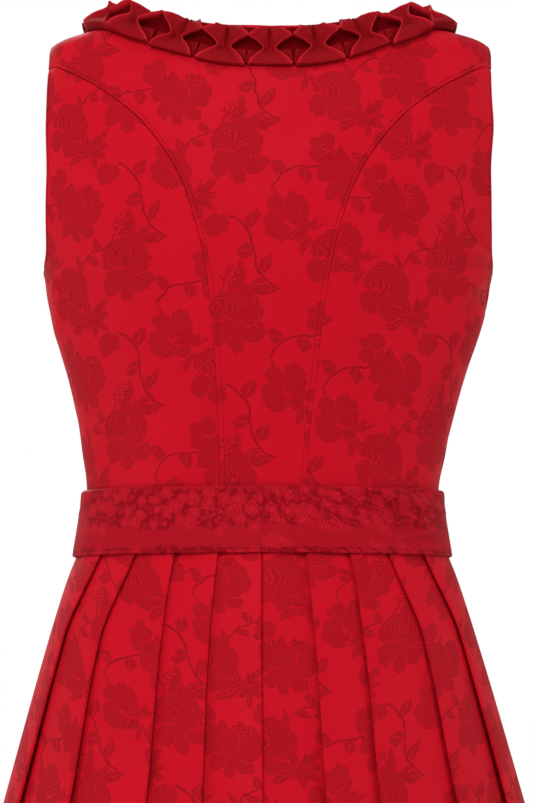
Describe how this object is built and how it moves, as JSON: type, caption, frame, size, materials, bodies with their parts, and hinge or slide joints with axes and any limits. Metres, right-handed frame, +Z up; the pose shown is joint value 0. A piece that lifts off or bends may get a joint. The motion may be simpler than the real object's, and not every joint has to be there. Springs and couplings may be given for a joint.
{
  "type": "dirndl dress",
  "caption": "Sleeveless dirndl filled out as if worn: curved princess seams, pinched box-pleat neck trim, knife-pleated skirt and a gathered apron tied in a bow.",
  "frame": {"origin": "midway between the two shoulder seams, at the height where they rest on the wearer's shoulders", "axes": "+Z up towards the neck, -Y the front, +X the wearer's left"},
  "size_m": [0.6416, 0.5981, 1.0683],
  "materials": {
    "dress_cloth": "tone-on-tone floral jacquard with a soft satin sheen",
    "trim_cloth": "plain satin-weave ribbon, folded and tacked",
    "button_cloth": "cloth-covered, matt",
    "apron_cloth": "satin with small woven daisies, silky sheen"
  },
  "bodies": {
    "root": {"back_middle": "dress_cloth", "front_middle_left": "dress_cloth", "front_middle_right": "dress_cloth", "back_side_left": "dress_cloth", "back_side_right": "dress_cloth", "front_side_left": "dress_cloth", "front_side_right": "dress_cloth", "front_placket": "dress_cloth", "skirt_back": "dress_cloth", "skirt_front": "dress_cloth", "neck_trim_front_left": "trim_cloth", "neck_trim_back": "trim_cloth", "neck_trim_front_right": "trim_cloth", "button_1": "button_cloth", "button_2": "button_cloth", "button_3": "button_cloth", "button_4": "button_cloth", "button_5": "button_cloth", "apron_band": "apron_cloth", "apron_front": "apron_cloth", "bow_knot": "apron_cloth", "bow_loop_outer": "apron_cloth", "bow_loop_inner": "apron_cloth", "tie_end_outer": "apron_cloth", "tie_end_inner": "apron_cloth"}
  },
  "joints": []
}
